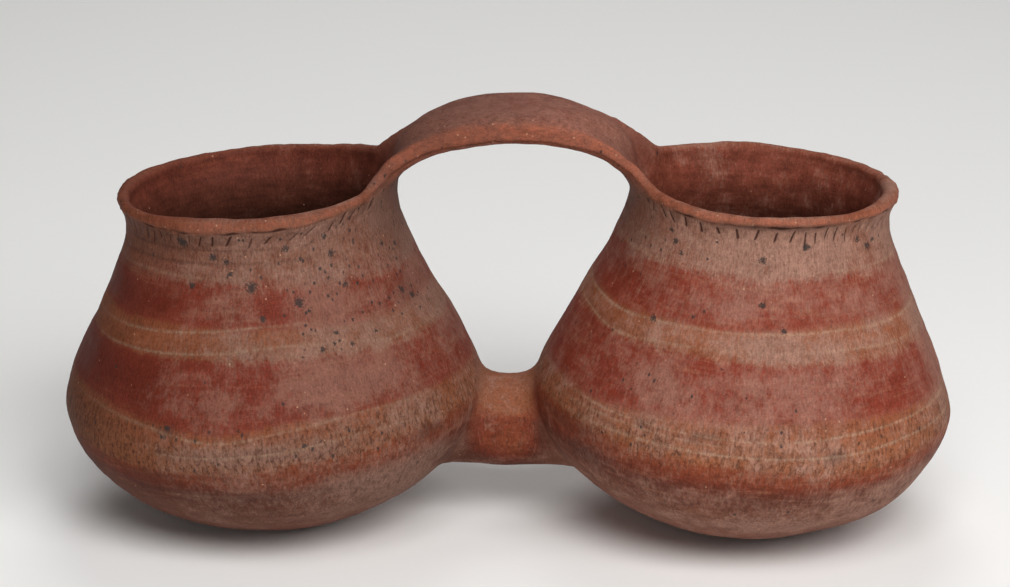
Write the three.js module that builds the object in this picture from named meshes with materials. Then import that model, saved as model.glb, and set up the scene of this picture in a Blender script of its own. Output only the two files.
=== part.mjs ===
// A double pottery jar of red earthenware. Two round-bellied jars stand side by side. A web of clay joins
// their bellies, and a strap handle springs from the inner side of each rim. All of it was modelled by
// hand in soft clay and fired as one piece, so it is one closed surface.
//
// Units are millimetres. +Z is up, +X points to the taller jar and -Y to the front. The origin is on the
// ground, midway between the axes of the two jars.
//
// Each jar is a grid on its wall. A row is a distance along the wall's section, counted from the crest of
// the lip: below zero down the outside to the middle of the base, above zero down the inside. A column is
// an angle round the jar's axis, counted from the side that faces the other jar. A hole is left in each
// grid for the handle and one for the web. Tubes of Bezier curves that leave the edges of the holes along
// the wall close them, so handle and web grow out of the clay without a seam.

import * as THREE from "three";

// The shorter jar, on the left, and the taller one, on the right.
const leftJar = {
  side: -1,
  bellyRadius: 83,
  bellyHeight: 52,
  neckRadius: 53.5,
  neckBelowCrest: 12,
  lipRadius: 56,
  crestHeight: 137.5,
  lean: 2.5, // degrees, outwards
  rimTilt: 1.2, // degrees, rising towards the handle
  baseWidth: 0.645, // share of the belly radius over which the base is nearly level
  baseCurl: 0.4, // share of the belly height over which the wall under the belly is nearly upright
  shoulderLow: 0.245, // shares of the shoulder's height that follow the belly and the neck
  shoulderHigh: 0.26,
  webBelowBelly: 17, // along the wall, from the widest line to the middle of the web
};
const rightJar = {
  side: 1,
  bellyRadius: 82.5,
  bellyHeight: 53,
  neckRadius: 50.5,
  neckBelowCrest: 10.5,
  lipRadius: 52.5,
  crestHeight: 141,
  lean: 3.5,
  rimTilt: -1.5,
  baseWidth: 0.63,
  baseCurl: 0.43,
  shoulderLow: 0.19,
  shoulderHigh: 0.185,
  webBelowBelly: 20,
};

// Both jars.
const axisSpacing = 186; // between the axes of the two jars, at the height of the bellies
const wallThickness = 6;
const lipThickness = 5;
const baseThickness = 8;
const footWear = 0.8; // depth by which the rounded base is worn flat
const rimRise = 3.4; // how far the rim is drawn up towards the handle
const rimRiseAngle = 70; // degrees each side of the handle over which it is drawn up
const rimRiseDepth = 45; // depth under the crest that the rise and tilt of the rim reach

// The strap handle. Its section is a rounded rectangle, a little domed on top.
const strapTop = 169.5;
const strapWidth = 44;
const strapThickness = 11;
const strapCamber = 0.8;
const strapCorner = 0.5; // 1 gives an ellipse, and towards 0 the corners get sharper
const strapRootAngle = 39; // degrees of the rim taken by half the root of the handle
const strapRootDepth = 14; // along the wall, under the crest, inside and outside
const strapSlope = 2; // degrees at the crown, rising to the right
const strapTopReach = 20.5; // how far the curves run on along the wall: from the inside of the rim,
const strapUnderReach = 12; // from the outside of the rim,
const strapSideReach = 10.5; // and from the crest
const crownTopReach = 50; // the same at the crown, on the top
const crownUnderReach = 41; // and on the underside

// The web between the bellies.
const webRootHeight = 54; // along the wall
const webRootWidth = 52;
const webHeight = 36;
const webWidth = 44;
const webMiddle = 39; // height of its middle above the ground
const webTopReach = 4;
const webUnderReach = 9;
const webSideReach = 5;
const webMiddleReach = 9;

// Fineness of the grid.
const columns = 48;
const strapColumns = 7; // to each side of the handle's middle
const webColumns = 3;
const baseRows = 7;
const webRows = 6;
const shoulderRows = 6;
const lipRows = 10;
const insideRows = 9;
const lipRowCrowding = 1.4; // above 1 the rows crowd at the crest
const strapSteps = 10; // from each rim to the crown
const webSteps = 3;

const { degToRad, smoothstep, lerp } = THREE.MathUtils;
const columnAngle = (2 * Math.PI) / columns;

// Number with the sign of x and the size of x raised to a power.
function signedPower(x, power) {
  return Math.sign(x) * Math.abs(x) ** power;
}

// The section of a jar's wall, from the middle of the base up the outside, over the lip, and down the
// inside to the middle of the floor: Bezier curves and the half circle of the lip.
function wallSection(jar) {
  const { bellyRadius, bellyHeight, neckRadius, lipRadius } = jar;
  const neckHeight = jar.crestHeight - jar.neckBelowCrest;
  const lipHeight = jar.crestHeight - lipThickness / 2;
  const lipRise = lipHeight - neckHeight;
  const shoulder = neckHeight - bellyHeight;
  const low = jar.shoulderLow * shoulder;
  const high = jar.shoulderHigh * shoulder;
  const innerBelly = bellyRadius - wallThickness;
  const innerNeck = neckRadius - wallThickness;
  const innerLip = lipRadius - lipThickness;
  const innerNeckHeight = neckHeight - lipThickness;
  const section = new THREE.Path();
  section.moveTo(0, 0);
  section.bezierCurveTo(
    jar.baseWidth * bellyRadius, 0,
    bellyRadius, bellyHeight * (1 - jar.baseCurl),
    bellyRadius, bellyHeight,
  );
  section.bezierCurveTo(
    bellyRadius, bellyHeight + low,
    neckRadius, neckHeight - high,
    neckRadius, neckHeight,
  );
  section.bezierCurveTo(
    neckRadius, neckHeight + 0.5 * lipRise,
    lipRadius, lipHeight - 0.35 * lipRise,
    lipRadius, lipHeight,
  );
  section.absarc(lipRadius - lipThickness / 2, lipHeight, lipThickness / 2, 0, Math.PI, false);
  section.bezierCurveTo(
    innerLip, lipHeight - 0.4 * lipRise,
    innerNeck, innerNeckHeight + 0.6 * lipRise,
    innerNeck, innerNeckHeight,
  );
  section.bezierCurveTo(
    innerNeck, innerNeckHeight - high,
    innerBelly, bellyHeight + low,
    innerBelly, bellyHeight,
  );
  section.bezierCurveTo(
    innerBelly, lerp(bellyHeight, baseThickness, jar.baseCurl),
    jar.baseWidth * innerBelly, baseThickness,
    0, baseThickness,
  );
  return section;
}

// A jar with its section, the lengths along it, and how far it is let into the ground.
function shapeOf(jar) {
  const section = wallSection(jar);
  const lengths = section.getCurveLengths();
  const crest = (lengths[2] + lengths[3]) / 2;
  const total = lengths[lengths.length - 1];
  const lean = degToRad(jar.lean);
  const foot = section.curves[0].getPoints(400).map((p) => p.y * Math.cos(lean) - p.x * Math.sin(lean));
  return {
    ...jar,
    section,
    crest,
    total,
    lean,
    ground: Math.min(...foot) + footWear,
    web: {
      row: lengths[0] - crest - jar.webBelowBelly,
      halfHeight: webRootHeight / 2,
      halfColumns: webColumns,
      halfAngle: webRootWidth / 2 / jar.bellyRadius,
    },
    strap: {
      row: 0,
      halfHeight: strapRootDepth,
      halfColumns: strapColumns,
      halfAngle: degToRad(strapRootAngle),
    },
  };
}

// The point on a jar's wall at a row and an angle. The rim rises towards the handle and is tilted, the
// jar leans about the middle of its belly, and what would be under the ground is worn flat.
function wallPoint(jar, row, angle) {
  const p = jar.section.getPoint(THREE.MathUtils.clamp((row + jar.crest) / jar.total, 0, 1));
  const near = smoothstep(Math.cos(angle), Math.cos(degToRad(rimRiseAngle)), 1);
  const tilt = p.x * Math.cos(angle) * Math.tan(degToRad(jar.rimTilt));
  const rim = smoothstep(p.y, jar.crestHeight - rimRiseDepth, jar.crestHeight);
  const height = p.y + rim * (rimRise * near + tilt) - jar.bellyHeight;
  const inwards = p.x * Math.cos(angle);
  const x = inwards * Math.cos(jar.lean) - height * Math.sin(jar.lean);
  const z = inwards * Math.sin(jar.lean) + height * Math.cos(jar.lean);
  const belly = jar.bellyHeight * Math.cos(jar.lean);
  return new THREE.Vector3(
    jar.side * (axisSpacing / 2 - x),
    p.x * Math.sin(angle),
    Math.max(z + belly - jar.ground, 0),
  );
}

// The rows of a jar's grid, and the indices of the rows on which the holes begin and end.
function wallRows(jar) {
  const { web, strap } = jar;
  const spans = [
    [-jar.crest, web.row - web.halfHeight, baseRows],
    [web.row - web.halfHeight, web.row + web.halfHeight, webRows],
    [web.row + web.halfHeight, -strap.halfHeight, shoulderRows],
    [-strap.halfHeight, strap.halfHeight, lipRows],
    [strap.halfHeight, jar.total - jar.crest, insideRows],
  ];
  const rows = [];
  const starts = [];
  spans.forEach(([from, to, count]) => {
    starts.push(rows.length);
    for (let i = 0; i < count; i++) rows.push(lerp(from, to, i / count));
  });
  for (let i = starts[3]; i < starts[4]; i++) {
    rows[i] = strap.halfHeight * signedPower(rows[i] / strap.halfHeight, lipRowCrowding);
  }
  rows.push(jar.total - jar.crest);
  return { rows, starts };
}

// Draws the square edge of a hole in the grid to an ellipse of the hole's own size. The pull fades out
// over the hole's own width around it.
function aroundHole(hole, row, column) {
  const a = (row - hole.row) / hole.halfHeight;
  const b = column / hole.halfColumns;
  const square = Math.max(Math.abs(a), Math.abs(b));
  const near = 1 - smoothstep(square, 1, 2);
  const round = lerp(1, square / (Math.hypot(a, b) || 1), near);
  const stretch = lerp(1, hole.halfAngle / (hole.halfColumns * columnAngle), near);
  return {
    near,
    row: hole.row + a * round * hole.halfHeight,
    angle: column * columnAngle * round * stretch,
  };
}

const points = [];
const triangles = [];

function addPoint(point) {
  points.push(point);
  return points.length - 1;
}

// Two triangles for a quad, split along its shorter diagonal. At the poles of the jars two corners are the
// same point, and only one triangle is left.
function addQuad(a, b, c, d) {
  const short = points[a].distanceTo(points[c]) <= points[b].distanceTo(points[d]);
  const pair = short ? [[a, b, c], [a, c, d]] : [[a, b, d], [b, c, d]];
  pair.filter((t) => new Set(t).size === 3).forEach((t) => triangles.push(t));
}

// The edge of a hole: for each of its points the index, the place, the direction in which the wall runs
// into the hole, and the point's share across (round the rim) and along (from outside to inside).
function holeEdge(jar, hole, grid, firstRow, lastRow) {
  const middle = columns / 2;
  const left = middle - hole.halfColumns;
  const right = middle + hole.halfColumns;
  const cells = [];
  for (let c = left; c < right; c++) cells.push([firstRow, c]);
  for (let r = firstRow; r < lastRow; r++) cells.push([r, right]);
  for (let c = right; c > left; c--) cells.push([lastRow, c]);
  for (let r = lastRow; r > firstRow; r--) cells.push([r, left]);
  return cells.map(([r, c]) => {
    const { index, row, angle } = grid[r][c];
    const across = angle / hole.halfAngle;
    const along = (row - hole.row) / hole.halfHeight;
    const step = 0.001;
    const inside = wallPoint(
      jar,
      row - step * along * hole.halfHeight,
      angle - step * across * hole.halfAngle,
    );
    const place = points[index];
    return { index, place, across, along, direction: inside.sub(place).normalize() };
  });
}

// Adds a jar's wall and returns the edges of its two holes.
function addJar(jar) {
  const { rows, starts } = wallRows(jar);
  const lastRow = rows.length - 1;
  const grid = rows.map((row, r) => {
    const pole = r === 0 || r === lastRow;
    const cells = [];
    for (let c = 0; c < columns; c++) {
      const web = aroundHole(jar.web, row, c - columns / 2);
      const strap = aroundHole(jar.strap, row, c - columns / 2);
      const cell = web.near > 0 ? web : strap;
      const index = pole && c > 0 ? cells[0].index : addPoint(wallPoint(jar, cell.row, cell.angle));
      cells.push({ ...cell, index });
    }
    return cells;
  });
  const holes = [
    { ...jar.web, first: starts[1], last: starts[2] },
    { ...jar.strap, first: starts[3], last: starts[4] },
  ];
  for (let r = 0; r < lastRow; r++) {
    for (let c = 0; c < columns; c++) {
      const open = holes.some(
        (h) => r >= h.first && r < h.last && Math.abs(c + 0.5 - columns / 2) < h.halfColumns,
      );
      if (open) continue;
      const next = (c + 1) % columns;
      const quad = [grid[r][c], grid[r][next], grid[r + 1][next], grid[r + 1][c]].map((cell) => cell.index);
      addQuad(...(jar.side > 0 ? quad.reverse() : quad));
    }
  }
  return holes.map((hole) => holeEdge(jar, hole, grid, hole.first, hole.last));
}

// Adds a tube from the left edge to the right edge by way of a ring of points in the plane x = 0. Each of
// its lines is a Bezier curve from the edge, along the wall at first, to the ring.
function addTube(leftEdge, rightEdge, ring, steps) {
  const half = (edge, side) =>
    edge.map((start, i) => {
      const { middle, startReach, middleReach, slope } = ring(start);
      const level = new THREE.Vector3(Math.cos(slope), 0, Math.sin(slope));
      const curve = new THREE.CubicBezierCurve3(
        start.place,
        start.place.clone().addScaledVector(start.direction, startReach),
        middle.clone().addScaledVector(level, side * middleReach),
        middle,
      );
      return curve.getPoints(steps);
    });
  const fromLeft = half(leftEdge, -1);
  const fromRight = half(rightEdge, 1);
  const rings = [leftEdge.map((start) => start.index)];
  for (let i = 1; i <= steps; i++) rings.push(fromLeft.map((line) => addPoint(line[i])));
  for (let i = steps - 1; i > 0; i--) rings.push(fromRight.map((line) => addPoint(line[i])));
  rings.push(rightEdge.map((start) => start.index));
  for (let i = 0; i + 1 < rings.length; i++) {
    rings[i].forEach((a, j) => {
      const next = (j + 1) % rings[i].length;
      addQuad(a, rings[i][next], rings[i + 1][next], rings[i + 1][j]);
    });
  }
}

// The crown of the strap handle. The inside of the rims becomes its top and the outside its underside.
function strapRing({ across, along }) {
  const top = (1 + along) / 2;
  const endReach = along < 0 ? strapUnderReach : strapTopReach;
  return {
    middle: new THREE.Vector3(
      0,
      (strapWidth / 2) * signedPower(across, strapCorner),
      strapTop - strapThickness / 2 + (strapThickness / 2) * signedPower(along, strapCorner)
        - strapCamber * across ** 2,
    ),
    startReach: endReach * along ** 2 + strapSideReach * across ** 2,
    middleReach: lerp(crownUnderReach, crownTopReach, top),
    slope: degToRad(strapSlope),
  };
}

// The narrowest ring of the web, an upright ellipse.
function webRing({ across, along }) {
  const endReach = along < 0 ? webUnderReach : webTopReach;
  return {
    middle: new THREE.Vector3(0, (webWidth / 2) * across, webMiddle + (webHeight / 2) * along),
    startReach: endReach * along ** 2 + webSideReach * across ** 2,
    middleReach: webMiddleReach,
    slope: 0,
  };
}

const [leftWeb, leftStrap] = addJar(shapeOf(leftJar));
const [rightWeb, rightStrap] = addJar(shapeOf(rightJar));
addTube(leftStrap, rightStrap, strapRing, strapSteps);
addTube(leftWeb, rightWeb, webRing, webSteps);

const geometry = new THREE.BufferGeometry().setFromPoints(points);
geometry.setIndex(triangles.flat());
geometry.computeVertexNormals();

const redEarthenware = new THREE.MeshStandardMaterial({
  color: 0x8a4a38,
  roughness: 0.72,
  metalness: 0,
});
const clay = new THREE.Mesh(geometry, redEarthenware);
clay.name = "double_jar";

const doubleJar = new THREE.Group();
doubleJar.add(clay);

export default doubleJar;
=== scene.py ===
"""The looks of a double pottery jar: two round-bellied jars of red earthenware, joined by a web of clay
at the bellies and a strap handle from rim to rim, all modelled by hand and fired as one piece.

The clay is one mesh in metres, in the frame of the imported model. Its form is worked out in millimetres
from the same sizes as the solid, and its surface adds what a potter's hand and long use left there:
uneven walls, incised lines, nicks under the lips, and worn bands of red slip on a buff ground.
"""

import math
from functools import partial

import bpy
import numpy as np
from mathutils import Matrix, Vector


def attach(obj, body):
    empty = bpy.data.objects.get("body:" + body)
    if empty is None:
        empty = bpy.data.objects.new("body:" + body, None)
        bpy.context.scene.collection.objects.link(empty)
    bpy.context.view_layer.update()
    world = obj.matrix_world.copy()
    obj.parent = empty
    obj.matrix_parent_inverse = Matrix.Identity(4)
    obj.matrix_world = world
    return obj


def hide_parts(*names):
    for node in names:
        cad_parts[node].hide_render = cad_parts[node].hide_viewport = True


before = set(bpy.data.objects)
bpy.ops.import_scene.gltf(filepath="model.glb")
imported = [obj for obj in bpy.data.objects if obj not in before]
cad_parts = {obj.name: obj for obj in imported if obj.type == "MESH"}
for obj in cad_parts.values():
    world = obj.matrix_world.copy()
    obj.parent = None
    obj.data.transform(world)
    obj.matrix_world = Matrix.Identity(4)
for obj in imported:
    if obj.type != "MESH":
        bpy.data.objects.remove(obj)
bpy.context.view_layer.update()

MM = 0.001

# The form, in millimetres and degrees, as in the solid.
LEFT_JAR = dict(
    side=-1, belly_radius=83.0, belly_height=52.0, neck_radius=53.5, neck_below_crest=12.0,
    lip_radius=56.0, crest_height=137.5, lean=2.5, rim_tilt=1.2, base_width=0.645, base_curl=0.4,
    shoulder_low=0.245, shoulder_high=0.26, web_below_belly=17.0,
)
RIGHT_JAR = dict(
    side=1, belly_radius=82.5, belly_height=53.0, neck_radius=50.5, neck_below_crest=10.5,
    lip_radius=52.5, crest_height=141.0, lean=3.5, rim_tilt=-1.5, base_width=0.63, base_curl=0.43,
    shoulder_low=0.19, shoulder_high=0.185, web_below_belly=20.0,
)
AXIS_SPACING = 186.0
WALL = 6.0
LIP = 5.0
BASE = 8.0
FOOT_WEAR = 0.8
RIM_RISE = 3.4
RIM_RISE_ANGLE = 70.0
RIM_RISE_DEPTH = 45.0
STRAP_TOP = 169.5
STRAP_WIDTH = 44.0
STRAP_THICKNESS = 11.0
STRAP_CAMBER = 0.8
STRAP_CORNER = 0.5
STRAP_ROOT_ANGLE = 39.0
STRAP_ROOT_DEPTH = 14.0
STRAP_SLOPE = 2.0
STRAP_REACH = dict(top=20.5, under=12.0, side=10.5)
CROWN_REACH = dict(top=50.0, under=41.0)
WEB_ROOT_HEIGHT = 54.0
WEB_ROOT_WIDTH = 52.0
WEB_HEIGHT = 36.0
WEB_WIDTH = 44.0
WEB_MIDDLE = 39.0
WEB_REACH = dict(top=4.0, under=9.0, side=5.0)
WEB_MIDDLE_REACH = 9.0

# The fineness of the mesh: three columns for each nick under the lip, and rows that crowd at the
# incised lines and at the lip.
NICKS = 72
COLUMNS = 3 * NICKS
STRAP_COLUMNS = 32
WEB_COLUMNS = 14
BASE_ROWS, WEB_ROWS, SHOULDER_ROWS, LIP_ROWS, INSIDE_ROWS = 18, 46, 60, 46, 24
STRAP_STEPS = 30
WEB_STEPS = 6
CURVE_STEPS = 240
GRAIN_RADIUS = 83.0  # the radius at which the grain of the wall is wrapped round a jar

# The painted bands. A row is a distance in millimetres along the wall, counted down from the crest of
# the lip. The edges are named here by their rows at the front, and the tables under each jar give the
# rows at turns round it, where -90 degrees is the front, 0 faces the other jar, and the back mirrors
# the front.
TURNS = (-180, -160, -140, -120, -100, -80, -60, -40, -20, 0)
EDGES = (-108.0, -97.5, -82.0, -56.0, -43.5, -26.0, -6.0)
LINES = (-93.0, -89.5, -84.5, -54.0, -45.5, -24.0, -19.2, -13.8)

# The patches of a jar are (turn, row, half turn, half height, strength), and its crusts are (turn, row,
# radius). A line's strength is above 0 where it shows pale clay, and below 0 where dirt has filled it.
LEFT_PAINT = dict(
    edges=(
        (-101, -101, -103, -107, -108, -108, -105, -104, -105, -106),
        (-93, -94, -97, -99.5, -98.5, -96.5, -94.5, -92, -91, -91),
        (-76, -76, -77, -81, -84, -80.5, -80, -79.5, -80, -80),
        (-55, -55, -55.5, -55.5, -55.5, -55.5, -56.5, -58, -58, -58),
        (-42, -42, -43, -42.3, -43.5, -44, -45.5, -46.5, -46, -46),
        (-27, -27, -26.8, -26.3, -26.3, -27, -29, -31, -32, -32),
        (-6, -6, -6, -6, -6, -6, -6, -6, -6, -6),
    ),
    lines=(
        (-93, -93, -93, -93, -92.5, -90.5, -87.5, -88, -89, -89),
        (-89, -89, -89, -90.5, -90.5, -88, -85, -85.5, -86.5, -87),
        (-79, -79, -80, -83, -87, -83.2, -80, -80, -79, -79),
        (-55.5, -55.5, -55.2, -54.5, -52.8, -51, -52.3, -56, -56, -55),
        (-48, -48, -47.5, -46.3, -44.3, -42.8, -43.8, -45, -46, -46),
        (-24.5, -24.5, -24, -24.2, -24.5, -24.3, -24, -24, -24, -24),
        (-19.5, -19.5, -19, -19, -18.7, -18.7, -19, -19.2, -19, -19),
        (-14, -14, -14, -13.8, -13.5, -13.5, -13.5, -13.5, -14, -14),
    ),
    line_strength=(
        (0.1, 0.1, 0.1, 0.2, 0.9, 0.8, 0.5, 0.3, 0.1, 0.0),
        (0.0, 0.0, 0.0, 0.1, 0.2, 0.1, 0.2, 0.2, 0.0, 0.0),
        (0.0, 0.1, 0.4, 0.8, 1.0, 0.6, 0.7, 0.5, 0.5, 0.1),
        (0.1, 0.3, 0.9, 1.0, 0.8, 0.7, 0.3, 0.5, 0.4, 0.2),
        (0.1, 0.2, 0.8, 1.0, 1.0, 0.7, 0.1, 0.1, 0.2, 0.1),
        (0.2, 0.3, 0.6, 0.6, 0.3, 0.1, 0.1, 0.1, 0.1, 0.1),
        (-0.2, -0.4, -0.7, -0.7, -0.6, -0.5, -0.3, -0.2, -0.1, 0.0),
        (-0.2, -0.3, -0.6, -0.6, -0.5, -0.5, -0.5, -0.3, -0.1, 0.0),
    ),
    nick_slant=0.2,
    # The grey film at each turn: dust, and painted sheen on the flanks and between the jars.
    bloom=(0.0, 0.0, 0.02, 0.08, 0.34, 0.3, 0.46, 0.36, 0.3, 0.42),
    inside_bloom=0.25,
    # How fast the inside darkens with depth, as painted shade.
    inside_shading=1.7,
    fresh=(
        (-150, -35, 34, 8, 1.0), (-125, -35, 12, 8, 0.75), (-148, -66, 34, 12, 1.0),
        (-122, -68, 9, 12, 0.9), (-86, -62, 14, 6, 0.35), (-82, -77, 12, 4, 0.4),
        (-36, -39, 12, 7, 0.55), (-34, -66, 14, 9, 0.3), (-22, -97, 9, 6, 0.6), (-4, -100, 18, 11, 0.6),
    ),
    # Patches of the grey film: dust, and painted light from the floor on the base.
    dust_and_light_patches=(
        (-97, -36, 10, 6, 0.3), (-63, -38, 13, 9, 0.4), (-104, -73, 14, 6, 0.3),
        (-62, -68, 18, 9, 0.45), (-97, -92, 20, 3.5, 0.5), (-80, -92, 16, 5, 0.4),
        (-52, -110, 22, 8, 0.45), (-12, -45, 12, 24, 0.3), (-88, -54, 8, 4, 0.35),
        (-45, -85, 14, 5, 0.25), (-45, -120, 26, 14, 0.35), (-42, -104, 20, 6, 0.2),
    ),
    # Dark patches: stains, and painted shade by the handle's root at turns -25 and -16.
    stain_and_shade=(
        (-38, -95, 5, 3, 0.7), (-113, -83.5, 2.6, 2.4, 0.55), (-66, -89, 22, 6, 0.2),
        (-90, -111, 24, 3, 0.35), (-120, -103, 10, 3, 0.4), (-25, -42, 7, 7, 0.3),
        (-16, -14, 24, 16, 0.4), (-133, -12, 18, 6, 0.2), (-150, -88, 22, 10, 0.3),
    ),
    speckled=(
        (-45, -30, 38, 24, 0.75), (-22, -40, 14, 16, 0.9), (-95, -14, 40, 8, 0.35),
        (-60, -50, 20, 9, 0.4), (-80, -90, 50, 8, 0.5), (-18, -20, 24, 16, 1.0),
    ),
    crusts=(
        (-117, -11, 2.7), (-103.5, -16, 1.9), (-98, -17.8, 1.3), (-96.5, -22.5, 1.2),
        (-112.5, -27.5, 1.5), (-88.2, -28, 2.5), (-84.5, -40, 1.6), (-74, -14, 1.6), (-71, -35, 2.2),
        (-61, -24, 0.9), (-57.5, -12.5, 1.5), (-55.5, -19.5, 1.6), (-44.5, -14, 0.9), (-51.5, -32, 1.5),
        (-28.5, -23, 1.3), (-19.5, -25.5, 1.2), (-66, -54, 1.2), (-61.5, -52.5, 0.9), (-55.5, -54, 1.1),
        (-60, -48.5, 0.9), (-45.5, -51.5, 0.9), (-26.5, -41, 1.6), (-22.5, -44.5, 1.7), (-22, -50, 1.1),
        (-113, -82.5, 1.5), (-114.5, -86, 1.1), (-92.5, -82, 0.8), (-80, -72.5, 0.8), (-75.5, -89, 1.2),
        (-68, -38.5, 1.0),
    ),
)
RIGHT_PAINT = dict(
    edges=(
        (-103, -103, -105, -107, -108, -107.5, -106, -104.5, -103, -103),
        (-93, -94, -97, -99.5, -98, -97, -96, -93.5, -92, -92),
        (-80, -80, -80, -79.5, -80.5, -81.5, -83, -84.5, -83, -83),
        (-57, -57, -58, -57.5, -57.5, -57.5, -57, -57, -54.5, -54),
        (-44, -44, -43.2, -43.5, -45, -46.5, -46.7, -47, -46, -46),
        (-25, -25, -26, -24.5, -25.5, -26, -24.2, -27, -26.5, -26),
        (-6, -6, -6, -6, -6, -6, -6, -6, -6, -6),
    ),
    lines=(
        (-89, -89.5, -90, -92.3, -93, -93, -92.5, -92, -91, -91),
        (-86, -86, -87, -89, -90, -89.5, -88.3, -87.6, -86, -85),
        (-82, -82.3, -83.5, -85, -87, -87, -86.3, -85, -82, -81),
        (-54, -54, -54, -53, -53.5, -54, -55, -57, -54, -52.5),
        (-45.5, -45.5, -46, -45.7, -46.2, -47.2, -47.6, -48.6, -47.2, -46.5),
        (-24.5, -24.5, -24, -23.5, -23, -23.5, -25, -26.5, -26, -26),
        (-20, -20, -20, -20, -20, -20, -20.5, -21, -20.5, -20),
        (-15, -15, -15, -15, -15, -15, -15, -15.2, -15, -15),
    ),
    line_strength=(
        (0.2, 0.6, 0.9, 1.0, 0.9, 0.8, 0.8, 0.5, 0.3, 0.1),
        (0.0, 0.1, 0.1, 0.2, 0.3, 0.3, 0.6, 0.7, 0.6, 0.2),
        (0.3, 1.0, 1.0, 1.0, 0.8, 0.7, 0.7, 0.9, 0.9, 0.5),
        (0.1, 0.3, 0.7, 0.7, 0.4, 0.4, 0.6, 0.9, 0.9, 0.4),
        (0.6, 0.8, 0.8, 0.8, 0.8, 0.8, 0.8, 1.0, 0.9, 0.4),
        (0.3, 0.6, 0.6, 0.4, 0.2, 0.1, 0.3, 0.8, 0.8, 0.4),
        (0.0, 0.0, 0.1, 0.1, 0.1, 0.1, 0.4, 0.9, 0.9, 0.4),
        (0.0, 0.0, 0.0, 0.0, 0.0, 0.0, 0.2, 0.6, 0.6, 0.3),
    ),
    nick_slant=0.03,
    # The grey film at each turn: dust, and painted sheen, most on the grazing far flank.
    bloom=(0.6, 0.38, 0.24, 0.33, 0.42, 0.33, 0.36, 0.24, 0.2, 0.28),
    inside_bloom=0.55,
    # How fast the inside darkens with depth, as painted shade.
    inside_shading=1.0,
    fresh=(
        (-28, -34, 22, 8, 0.9), (-52, -37, 12, 8, 0.5), (-141, -67, 17, 10, 0.6),
        (-123, -36, 9, 7, 0.4), (-148, -33, 8, 6, 0.5), (-35, -70, 22, 12, 0.4), (-88, -66, 16, 8, 0.4),
        (-30, -97, 20, 5, 0.6), (-80, -36, 24, 6, 0.3), (-4, -100, 18, 11, 0.6),
    ),
    # Patches of the grey film: dust, and painted light from the floor on the base.
    dust_and_light_patches=(
        (-135, -38, 12, 8, 0.3), (-100, -33, 22, 5, 0.1), (-75, -38, 14, 5, 0.2),
        (-67, -73, 12, 8, 0.35), (-108, -68, 13, 10, 0.3), (-98, -52, 22, 5, 0.35),
        (-168, -60, 12, 34, 0.35), (-95, -17, 34, 8, 0.3), (-20, -82, 14, 3, 0.3),
        (-140, -118, 22, 12, 0.5), (-95, -132, 30, 8, 0.4),
    ),
    # Dark patches: stains, painted shade under the lip at row -5.6, and by the handle's root at turn
    # -22.
    stain_and_shade=(
        (-42, -106, 9, 4.5, 0.55), (-34, -97, 14, 4, 0.45), (-114, -93, 3.4, 2.6, 0.5),
        (-98.5, -92, 3, 1.8, 0.4), (-81, -87, 2.6, 2.2, 0.45), (-76, -88, 2.6, 2.2, 0.5),
        (-61, -86.5, 2.4, 1.8, 0.4), (-66, -91.5, 2, 1.8, 0.35), (-95, -5.6, 34, 1.6, 0.9),
        (-22, -14, 24, 14, 0.35),
    ),
    speckled=(
        (-120, -14, 40, 6, 0.5), (-45, -18, 16, 10, 0.6), (-80, -88, 50, 8, 0.45),
        (-60, -65, 30, 10, 0.15), (-20, -18, 22, 14, 0.9),
    ),
    crusts=(
        (-137, -13.5, 1.8), (-142.5, -17, 1.6), (-147, -15.5, 1.0), (-109, -13.7, 1.7),
        (-90.7, -18.8, 1.6), (-91.5, -35.5, 1.5), (-67.5, -43, 1.2), (-53, -47.5, 1.8),
        (-99.5, -45, 1.4), (-55.5, -21, 1.3), (-51.5, -17.5, 1.4), (-48.5, -13.8, 1.3),
        (-88.5, -70.5, 0.7), (-66, -92, 0.8), (-88.5, -83.5, 0.7), (-68, -20.5, 0.8),
        (-70.5, -13.5, 0.7),
    ),
)

# How many patches of each kind, and how many crusts, lie at random on the back of each jar.
BACK_PATCHES = 9
BACK_CRUSTS = 8

# How pale the clay shows, from the left flank to the right jar: place in millimetres and factor. It is
# partly the clay's own colour, and partly painted shade on the left flank and painted light on the right
# jar.
PALENESS_AND_LIGHT = ((-176.0, -150.0, -115.0, -20.0, 20.0), (0.62, 0.76, 0.85, 0.85, 1.13))

LINE_HALF_WIDTH = 0.55
LINE_DEPTH = 0.22
NICK_MIDDLE = -9.8
NICK_LENGTH = 5.6
NICK_DEPTH = 0.6
NICK_SWAY = 0.13  # like each nick_slant, in columns for each millimetre up the wall
NICK_CLOSING = 0.6  # how far the two columns beside a nick close in on it, in columns
SEAM_ROW = -5.7  # the groove under the bead of the lip, darkened as painted shade
SEAM_HALF_WIDTH = 0.75
BEAD_HEIGHT = 0.4
WORN_ROW = -3.4  # the line round the lip that has rubbed most
WORN_HALF_WIDTH = 2.6
UNMOVED_ROWS = (-112.0, -11.0)  # the grid follows the incised lines only between these rows

# The unevenness of the clay: how many waves, the longest, the shortest and their height, in mm.
BROAD_WAVES = (14, 95.0, 26.0, 0.34)
SMALL_WAVES = (30, 19.0, 7.0, 0.07)
WIPED_WAVES = (10, 9.0, 3.2, 0.04)
WIPED_STRETCH = (0.12, 0.12, 1.0)  # drawn out round the jars
CRUMBLED_WAVES = (24, 10.0, 3.5, 0.17)

# The bands over the web: height and the row of the band that lies there.
WEB_BANDS = ((20, 29, 33, 46, 49, 58), (-118, -110, -105, -100, -96, -88))

rng = np.random.default_rng(27)


def smooth(x, low, high):
    """The smooth step from 0 at low to 1 at high: t * t * (3 - 2 t)."""
    t = np.clip((x - low) / (high - low), 0.0, 1.0)
    return t * t * (3 - 2 * t)


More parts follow.
